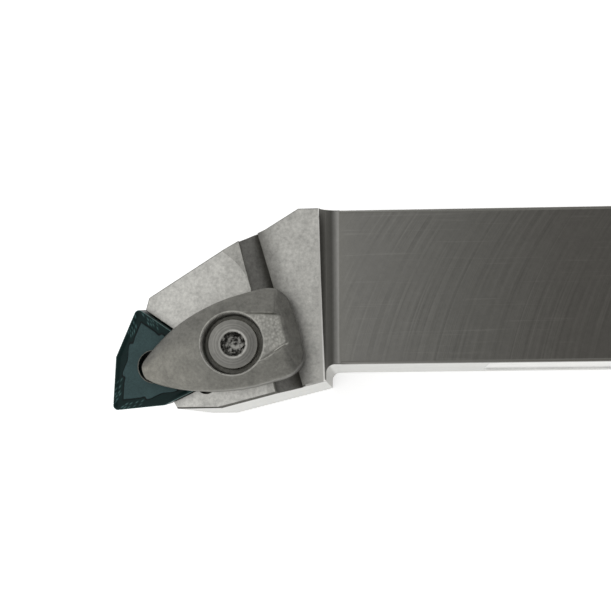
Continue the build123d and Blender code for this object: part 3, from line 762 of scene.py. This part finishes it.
def turned_screw_steel():
    """Blackened and oiled screw steel, turned: fine rings about the axis, a painted highlight
    on the chamfer round the socket, and painted shade in the socket, scaly with lighter patches."""
    material, tree = new_material("turned and blackened screw steel")
    position, _ = millimetres(tree)
    centred, z, radius = about_screw(tree, position)
    rings = add(
        tree,
        "ShaderNodeTexNoise",
        {"noise_dimensions": "1D", "Scale": 5.0, "Detail": 3.0},
        {"W": radius},
    )
    cloud = add(tree, "ShaderNodeTexNoise", {"Scale": 1.4, "Detail": 5.0}, {"Vector": centred})
    both = weighted_sum(tree, rings.outputs["Fac"], 0.55, cloud.outputs["Fac"], 0.45)
    scale = add(
        tree,
        "ShaderNodeTexNoise",
        {"Scale": 1.5, "Detail": 2.0, "Roughness": 0.6},
        {"Vector": centred},
    )
    in_head = (z, SCREW_SEAT, None, 0.2)
    colour = layered(
        tree,
        graded(tree, both, ((0.35, SCREW_DARK), (0.65, SCREW_LIGHT))),
        # Painted highlight on the chamfer round the socket.
        (mask(tree, (radius, SOCKET_MOUTH + 0.05, SOCKET_CHAMFER, 0.05), in_head), SOCKET_CHAMFER_HIGHLIGHT),
        # Painted shade in the socket, mottled with lighter patches.
        (
            mask(tree, (radius, None, SOCKET_MOUTH + 0.01, 0.04), in_head),
            graded(tree, scale.outputs["Fac"], ((0.4, SOCKET_SHADE), (0.62, SOCKET_LIGHT))),
        ),
    )
    steel = {"Metallic": 1.0, "Roughness": 0.42}
    shaded(tree, steel, colour, None, both, (0.15, 0.0001))
    return material


# ---- Insert ----
def insert_frame():
    """Centre of the insert's top face and its three axes."""
    up = Vector((-RAKE, -RAKE, 1)).normalized()
    along = Vector((1, 0, RAKE)).normalized()
    across = up.cross(along)
    reach = (INSERT_RADIUS - NOSE_RADIUS) / math.sin(HALF_CORNER)
    away = math.radians(CORNER_DIRECTION + 180)
    step = along * reach * math.cos(away) + across * reach * math.sin(away)
    rounding = NOSE_RADIUS * along.x
    x = TIP.x + rounding + step.x
    y = TIP.y + rounding + step.y
    z = TIP.z + RAKE * (x - TIP.x) + RAKE * (y - TIP.y)
    return Vector((x, y, z)), along, across, up


def from_corner(angle):
    """Turn from the nearest of the three corners, -60 to 60 degrees."""
    return (angle - CORNER_DIRECTION + 60) % 120 - 60


def trigon_reach(angle, inset):
    """Distance from the centre to the inset trigon outline, in the way of an angle in degrees."""
    bearing = math.radians(abs(from_corner(angle)))
    straight = (INSERT_RADIUS - inset) / math.cos(math.radians(50) - bearing)
    rounding = NOSE_RADIUS - inset
    if rounding <= 0:
        return straight
    middle = (INSERT_RADIUS - NOSE_RADIUS) / math.sin(HALF_CORNER)
    side = middle * math.sin(bearing)
    if side >= rounding:
        return straight
    arc = middle * math.cos(bearing) + math.sqrt(rounding ** 2 - side ** 2)
    return min(straight, arc)


def chip_breaker(angle, inset):
    """Height of the moulded chip breaker, its zone (0 honed edge, 1 groove, 2 flat face)
    and how far its dots stand out, at one place of the insert's face."""
    turn = math.radians(abs(from_corner(angle)))
    side = trigon_reach(angle, inset) * math.sin(turn) / math.sin(HALF_CORNER)
    wave = math.cos(2 * math.pi * (side - WAVE_START) / WAVE_LENGTH)
    brink = GROOVE_REACH + WAVE_HEIGHT * wave * smooth_step(2.6, 4.2, side)
    fall = smooth_step(0.14, 0.8, inset)
    rise = smooth_step(brink - 0.05, brink + 0.22, inset)
    height = -GROOVE_DEPTH * fall * (1 - rise)
    zone = smooth_step(0.05, 0.16, inset) + smooth_step(brink - 0.22, brink + 0.2, inset)
    dots = 0.0
    for row, first, count in DOT_ROWS:
        nearest = min(max(round((side - first) / DOT_PITCH), 0), count - 1)
        wander = 0.14 * math.sin(5.0 * nearest + 9.0 * row + 0.04 * angle)
        away = (side - first - DOT_PITCH * nearest - wander) ** 2 + (inset - row - wander) ** 2
        dots = max(dots, math.exp(-away / DOT_SPREAD) * (1 - 0.13 * nearest))
    return height + DOT_HEIGHT * dots, zone, dots


def insert_rows(level, down):
    """Rows of one face from its edge to the hole: how far out each lies at an angle, and the
    height, zone and dots of its finish there."""

    def outline(inset):
        return lambda angle: trigon_reach(angle, inset)

    def plain(depth, zone):
        return lambda angle: (level - down * depth, zone, 0.0)

    def moulded(inset):
        def finish(angle):
            height, zone, dot = chip_breaker(angle, inset)
            return level + down * height, zone, dot

        return finish

    def towards_hole(share):
        return lambda angle: trigon_reach(angle, insets[-1]) * (1 - share) + rim * share

    def circle(radius):
        return lambda angle: radius

    insets = [0.05 + 0.07 * step for step in range(34)]
    rim = INSERT_HOLE + 0.14
    rows = [
        (outline(0), plain(0.2, 1.0)),
        (outline(0), plain(0.05, 0.2)),
        (outline(0.015), plain(0.015, 0.0)),
    ]
    rows += [(outline(inset), moulded(inset)) for inset in insets]
    rows += [(towards_hole(share), plain(0.0, 2.0)) for share in (0.35, 0.7, 0.95)]
    rows += [
        (circle(rim), plain(0.0, 2.6)),
        (circle(INSERT_HOLE + 0.03), plain(0.1, 3.0)),
        (circle(INSERT_HOLE), plain(0.16, 2.9)),
        (circle(INSERT_HOLE), plain(0.4, 1.0)),
    ]
    return rows


def build_insert(material):
    """Moulded trigon insert: one closed skin over its top, its hole, its foot and its flanks."""
    centre, along, across, up = insert_frame()
    angles = []
    for corner in range(3):
        start = CORNER_DIRECTION + 120 * corner
        angles += [start + 0.4 * step for step in range(-10, 11)]
        angles += [start + 4 + 0.7 * step for step in range(1, 160)]
    rings = []
    zones = []
    dots = []
    foot = insert_rows(-INSERT_THICKNESS, -1.0)
    for reach_of, finish_of in insert_rows(0.0, 1.0) + foot[::-1]:
        ring = []
        for angle in angles:
            reach = reach_of(angle)
            height, zone, dot = finish_of(angle)
            turn = math.radians(angle)
            out = along * reach * math.cos(turn) + across * reach * math.sin(turn)
            ring.append(centre + out + up * height)
            zones.append(zone)
            dots.append(dot)
        rings.append(ring)
    vertices, faces = skin(rings, closed=True)
    piece = mesh_object("insert_moulded", vertices, faces, material, 40.0)
    for name, values in (("zone", zones), ("dots", dots)):
        attribute = piece.data.attributes.new(name, "FLOAT", "POINT")
        attribute.data.foreach_set("value", values)
    return piece


# ---- Clamp screw ----
def turned(name, place, rows, material, count=96, angle=30.0):
    """Piece about an upright axis from (radius, height) rows. A radius may be a function of
    the turn, as for a socket or a thread."""
    rings = []
    for radius, height in rows:
        ring = []
        for step in range(count):
            turn = 2 * math.pi * step / count
            r = radius(turn) if callable(radius) else radius
            ring.append((place.x + r * math.cos(turn), place.y + r * math.sin(turn), height))
        rings.append(ring)
    vertices, faces = skin(rings)
    return mesh_object(name, vertices, faces, material, angle)


def six_lobe(radius, depth):
    """Six-lobe socket outline: round lobes and round hollows."""
    return lambda turn: radius - depth * (0.5 - 0.5 * math.cos(6 * turn)) ** 0.8


def thread(height, foot):
    """Radius of the thread at one height, running out in a taper at the screw's foot."""
    ridge = smooth_step(foot, foot + 0.6, height)
    taper = 0.6 * (1 - smooth_step(foot - 0.3, foot + 0.6, height))

    def radius(turn):
        phase = (height / THREAD_PITCH - turn / (2 * math.pi)) % 1.0
        depth = THREAD_DEPTH * (1 - abs(2 * phase - 1)) * ridge
        return THREAD_RADIUS - depth - taper

    return radius


def build_clamp_screw(material):
    """Socket head screw: socket, crowned head, ring groove, neck and thread, from the top."""
    seat = SCREW_SEAT
    top = seat + SCREW_HEAD_HEIGHT
    rim = top + SCREW_CROWN
    crown = 2.42
    rows = [
        (six_lobe(1.5, 0.26), rim - SOCKET_DEPTH),
        (six_lobe(SOCKET_RADIUS, 0.34), rim - SOCKET_DEPTH + 0.2),
        (six_lobe(SOCKET_RADIUS, 0.34), rim - 0.62),
        (six_lobe(SOCKET_RADIUS + 0.04, 0.12), rim - 0.4),
        (SOCKET_MOUTH, rim - 0.26),
        (SOCKET_CHAMFER, rim - 0.02),
        (SOCKET_CHAMFER + 0.04, rim),
        (crown, rim),
    ]
    for share in (0.2, 0.5, 0.8, 1.0):
        rows.append((crown + 1.18 * share, rim - SCREW_CROWN * share))
    ring_low, ring_high = (corner[2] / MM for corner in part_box("retaining_ring"))
    foot = seat - SCREW_LENGTH
    head = foot + THREAD_LENGTH
    rows += [
        (SCREW_HEAD - 0.13, top - 0.02),
        (SCREW_HEAD - 0.05, top - 0.08),
        (SCREW_HEAD, top - 0.22),
        (SCREW_HEAD, seat + 0.3),
        (SCREW_HEAD - 0.15, seat),
        (SCREW_NECK, seat),
        (SCREW_NECK, ring_high + 0.1),
        (SCREW_GROOVE, ring_high + 0.1),
        (SCREW_GROOVE, ring_low - 0.1),
        (SCREW_NECK, ring_low - 0.1),
        (SCREW_NECK, head + 0.4),
    ]
    steps = 120
    for step in range(steps + 1):
        height = head - (head - foot) * step / steps
        rows.append((thread(height, foot), height))
    return turned("clamp_screw_turned", SCREW, rows, material)


# ---- Spring ----
def build_spring(material):
    """Coil spring with closed ends, made by a Geometry Nodes tree."""
    tree = bpy.data.node_groups.new("coil spring", "GeometryNodeTree")
    tree.interface.new_socket("Geometry", in_out="OUTPUT", socket_type="NodeSocketGeometry")
    sizes = {
        "Coil Radius": COIL_RADIUS * MM,
        "Wire Radius": WIRE_RADIUS * MM,
        "Height": (SPRING_HIGH - SPRING_LOW - 2 * WIRE_ROOM) * MM,
        "Turns": COIL_TURNS,
    }
    sockets = {
        name: tree.interface.new_socket(name, in_out="INPUT", socket_type="NodeSocketFloat")
        for name in sizes
    }
    given = add(tree, "NodeGroupInput").outputs
    spiral = add(
        tree,
        "GeometryNodeCurveSpiral",
        {"Resolution": 40},
        {
            "Rotations": given["Turns"],
            "Start Radius": given["Coil Radius"],
            "End Radius": given["Coil Radius"],
            "Height": given["Height"],
        },
    )
    # The rise eases in and out, so that the end coils lie closed.
    share = add(tree, "GeometryNodeSplineParameter")
    eased = add(
        tree,
        "ShaderNodeMapRange",
        {"interpolation_type": "SMOOTHSTEP"},
        {"Value": share.outputs["Factor"]},
    )
    lift = add(
        tree,
        "ShaderNodeMath",
        {"operation": "MULTIPLY"},
        {0: eased.outputs["Result"], 1: given["Height"]},
    )
    spot = add(tree, "GeometryNodeInputPosition")
    x, y, _ = add(tree, "ShaderNodeSeparateXYZ", links={0: spot.outputs[0]}).outputs
    moved = add(tree, "ShaderNodeCombineXYZ", links={0: x, 1: y, 2: lift.outputs[0]})
    eased_coil = add(
        tree,
        "GeometryNodeSetPosition",
        links={"Geometry": spiral.outputs[0], "Position": moved.outputs[0]},
    )
    wire = add(
        tree,
        "GeometryNodeCurvePrimitiveCircle",
        {"Resolution": 16},
        {"Radius": given["Wire Radius"]},
    )
    tube = add(
        tree,
        "GeometryNodeCurveToMesh",
        {"Fill Caps": True},
        {"Curve": eased_coil.outputs[0], "Profile Curve": wire.outputs[0]},
    )
    smooth = add(tree, "GeometryNodeSetShadeSmooth", links={0: tube.outputs[0]})
    real = add(tree, "GeometryNodeRealizeInstances", links={0: smooth.outputs[0]})
    painted = add(tree, "GeometryNodeSetMaterial", {"Material": material}, {0: real.outputs[0]})
    add(tree, "NodeGroupOutput", links={0: painted.outputs[0]})
    carrier = placed("spring_carrier", bpy.data.meshes.new("spring_carrier"))
    modifier = carrier.modifiers.new("coil", "NODES")
    modifier.node_group = tree
    for name, value in sizes.items():
        modifier[sockets[name].identifier] = value
    mesh = taken(carrier)
    foot = Vector((SCREW.x, SCREW.y, SPRING_LOW + WIRE_ROOM)) * MM
    for vertex in mesh.vertices:
        vertex.co += foot
    mesh.name = "clamp_spring_coil"
    return placed("clamp_spring_coil", mesh)


# ---- Pieces that take over a solid's form ----
def merged_copy(node):
    """Copy of a solid's mesh with its loose triangles joined."""
    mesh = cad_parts[node].data.copy()
    shell = bmesh.new()
    shell.from_mesh(mesh)
    bmesh.ops.remove_doubles(shell, verts=shell.verts, dist=1e-6)
    shell.to_mesh(mesh)
    shell.free()
    if "custom_normal" in mesh.attributes:
        mesh.attributes.remove(mesh.attributes["custom_normal"])
    mesh.materials.clear()
    return mesh


def build_clamp(material):
    """Clamp as a forged piece: the solid with every edge softened, least at its bore."""
    carrier = placed("clamp_carrier", merged_copy("clamp"))
    remesh = carrier.modifiers.new("even skin", "REMESH")
    remesh.mode = "VOXEL"
    remesh.voxel_size = 0.15 * MM
    carrier = placed("clamp_carrier", taken(carrier))
    group = carrier.vertex_groups.new(name="soft")
    for vertex in carrier.data.vertices:
        spot = vertex.co / MM
        radius = math.hypot(spot.x - SCREW.x, spot.y - SCREW.y)
        weight = 0.25 + 0.75 * smooth_step(CLAMP_BORE, CLAMP_BORE + 0.8, radius)
        group.add([vertex.index], weight, "REPLACE")
    soften = carrier.modifiers.new("soft edges", "SMOOTH")
    soften.factor = 0.5
    soften.iterations = 16
    soften.vertex_group = "soft"
    mesh = taken(carrier)
    mesh.name = "clamp_forged"
    mesh.materials.append(material)
    for polygon in mesh.polygons:
        polygon.use_smooth = True
    return placed("clamp_forged", mesh)


def broken_edges(mesh):
    """Weight of each edge for the broken edges: 1 where two large faces meet sharply."""
    large_face = 3 * MM * MM
    sharp_angle = math.radians(28)
    shell = bmesh.new()
    shell.from_mesh(mesh)
    shell.edges.ensure_lookup_table()
    weights = []
    for edge in shell.edges:
        large = all(face.calc_area() > large_face for face in edge.link_faces)
        sharp = edge.calc_face_angle() > sharp_angle
        weights.append(1.0 if large and sharp else 0.0)
    shell.free()
    return weights


def far_flank_shift(spot):
    """Outward shift of the head's far flank, where it is ground last: the most at the nose,
    nothing at the block."""
    from_flank = (spot - FAR_FLANK_POINT).dot(FAR_FLANK_OUT)
    if abs(from_flank) > 0.02 or spot.x > FAR_FLANK_START:
        return Vector((0, 0, 0))
    share = smooth_step(FAR_FLANK_START, FAR_FLANK_FULL, spot.x)
    return FAR_FLANK_OUT * FAR_FLANK_EXTRA * share


def build_body(material):
    """Holder body with its edges broken as after barrel finishing."""
    mesh = merged_copy("holder_body")
    shell = bmesh.new()
    shell.from_mesh(mesh)
    bmesh.ops.dissolve_limit(
        shell, angle_limit=math.radians(0.3), verts=shell.verts, edges=shell.edges
    )
    # The hair-thin ledge where the slot breaks out through the far side is dressed away.
    ledge = [v for v in shell.verts if (v.co / MM - SLOT_BREAKOUT).length < 0.16]
    ledge += [v for v in shell.verts if (v.co / MM - LEDGE_POINT).length < 0.1]
    bmesh.ops.pointmerge(shell, verts=ledge, merge_co=SLOT_BREAKOUT * MM)
    shell.to_mesh(mesh)
    shell.free()
    # The second slot only marks the faces that the bevel makes.
    mesh.materials.append(material)
    mesh.materials.append(material)
    for vertex in mesh.vertices:
        vertex.co += far_flank_shift(vertex.co / MM) * MM
    weights = mesh.attributes.new("bevel_weight_edge", "FLOAT", "EDGE")
    weights.data.foreach_set("value", broken_edges(mesh))
    carrier = placed("body_carrier", mesh)
    bevel = carrier.modifiers.new("broken edges", "BEVEL")
    bevel.width = EDGE_BREAK * MM
    bevel.segments = 2
    bevel.limit_method = "WEIGHT"
    bevel.use_clamp_overlap = False
    bevel.material = 1
    mesh = taken(carrier)
    clean_shell(mesh, 32.0)
    broken = mesh.attributes.new("broken", "FLOAT", "FACE")
    broken.data.foreach_set("value", [float(face.material_index) for face in mesh.polygons])
    mesh.polygons.foreach_set("material_index", [0] * len(mesh.polygons))
    mesh.materials.pop(index=1)
    # Large faces keep their own normals beside the broken edges.
    carrier = placed("body_carrier", mesh)
    level = carrier.modifiers.new("level faces", "WEIGHTED_NORMAL")
    level.weight = 100
    level.keep_sharp = True
    mesh = taken(carrier)
    mesh.name = "holder_milled"
    return placed("holder_milled", mesh)


# ---- Studio ----
def build_world():
    """Soft studio: white at the horizon, dimmer overhead and towards the shank's end."""
    world = bpy.data.worlds.new("soft studio")
    bpy.context.scene.world = world
    world.use_nodes = True
    tree = world.node_tree
    tree.nodes.clear()
    way = add(tree, "ShaderNodeTexCoord")
    x, _, z = add(tree, "ShaderNodeSeparateXYZ", links={0: way.outputs["Generated"]}).outputs
    left = add(
        tree,
        "ShaderNodeMapRange",
        {
            "interpolation_type": "SMOOTHSTEP",
            "From Min": 0.5,
            "From Max": -0.5,
            "To Min": 0.5,
            "To Max": 1.0,
        },
        {"Value": x},
    )
    low = add(
        tree,
        "ShaderNodeMapRange",
        {"interpolation_type": "SMOOTHSTEP", "From Min": 0.55, "From Max": 0.15},
        {"Value": z},
    )
    level = add(
        tree,
        "ShaderNodeMix",
        {"data_type": "FLOAT", "B": 1.0},
        {"Factor": low.outputs["Result"], "A": left.outputs["Result"]},
    )
    glow = add(
        tree, "ShaderNodeBackground", {"Color": srgb(WHITE)}, {"Strength": level.outputs[0]}
    )
    add(tree, "ShaderNodeOutputWorld", links={"Surface": glow.outputs[0]})


def build_floor():
    """White paper floor that keeps a soft shadow under the tool."""
    material, tree = new_material("white paper floor")
    rays = add(tree, "ShaderNodeLightPath").outputs
    seen = rays["Is Camera Ray"]
    for other in (rays["Is Glossy Ray"], rays["Is Transmission Ray"]):
        either = add(tree, "ShaderNodeMath", {"operation": "MAXIMUM"}, {0: seen, 1: other})
        seen = either.outputs[0]
    strength = add(tree, "ShaderNodeMath", {"operation": "MULTIPLY", 1: 0.5}, {0: seen})
    shader = add(
        tree,
        "ShaderNodeBsdfPrincipled",
        {
            "Base Color": srgb(PAPER),
            "Roughness": 0.9,
            "Specular IOR Level": 0.0,
            "Emission Color": srgb(WHITE),
        },
        {"Emission Strength": strength.outputs[0]},
    )
    add(tree, "ShaderNodeOutputMaterial", links={"Surface": shader.outputs[0]})
    size = 6000
    corners = [(-size, -size, 0), (size, -size, 0), (size, size, 0), (-size, size, 0)]
    mesh = bpy.data.meshes.new("floor")
    mesh.from_pydata([Vector(c) * MM for c in corners], [], [(0, 1, 2, 3)])
    mesh.materials.append(material)
    placed("floor", mesh)


def build_key_lamp():
    """Large soft lamp over the far side of the insert's end. In metres."""
    place = Vector((-0.45, 0.3, 0.85))
    target = Vector((-0.03, 0.0, 0.02))
    light = bpy.data.lights.new("key", "AREA")
    light.shape = "DISK"
    light.size = 0.9
    light.energy = 0.55
    lamp = placed("key", light)
    lamp.location = place
    lamp.rotation_euler = (target - place).to_track_quat("-Z", "Y").to_euler()


def build_camera():
    """Camera a quarter of a metre over the shank's top, looking nearly straight down."""
    lens = bpy.data.cameras.new("camera")
    lens.sensor_width = 36.0
    lens.lens = 91.99
    lens.clip_start = 0.01
    lens.clip_end = 50.0
    camera = placed("camera", lens)
    camera.location = (-0.0291284, -0.0275087, 0.2753081)
    camera.rotation_euler = (0.09721, 0.05917, -0.00792)
    bpy.context.scene.camera = camera


def give_material(node, material):
    """Material of a solid that is shown as it is."""
    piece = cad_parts[node]
    if piece.material_slots:
        piece.material_slots[0].material = material
    else:
        piece.data.materials.append(material)


def main():
    body = build_body(plated_steel_body())
    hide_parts("holder_body")
    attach(body, "holder")
    ground_carbide = plain_metal(
        "ground tungsten carbide", *CARBIDE_GREYS, 0.45, 0.5, (0.15, 1.5, 1.0)
    )
    give_material("shim", ground_carbide)
    oiled_steel = plain_metal("oiled screw steel", *OILED_GREYS, 0.35, 0.4, (1.0, 1.0, 0.3))
    give_material("shim_screw", oiled_steel)
    blued_steel = plain_metal("blued spring steel", *BLUED_GREYS, 0.33, 0.3, (1.0, 1.0, 0.2))
    give_material("retaining_ring", blued_steel)

    insert = build_insert(coated_carbide())
    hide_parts("insert")
    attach(insert, "holder")

    clamp = build_clamp(clamp_steel())
    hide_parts("clamp")
    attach(clamp, "clamp")

    screw = build_clamp_screw(turned_screw_steel())
    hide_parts("clamp_screw")
    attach(screw, "screw")

    drawn_wire = plain_metal("drawn spring wire", *WIRE_GREYS, 0.3, 0.25, (1.0, 1.0, 4.0))
    spring = build_spring(drawn_wire)
    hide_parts("clamp_spring")
    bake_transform(spring)

    build_world()
    build_floor()
    build_key_lamp()
    build_camera()
    bpy.context.scene.view_settings.view_transform = "Standard"


main()
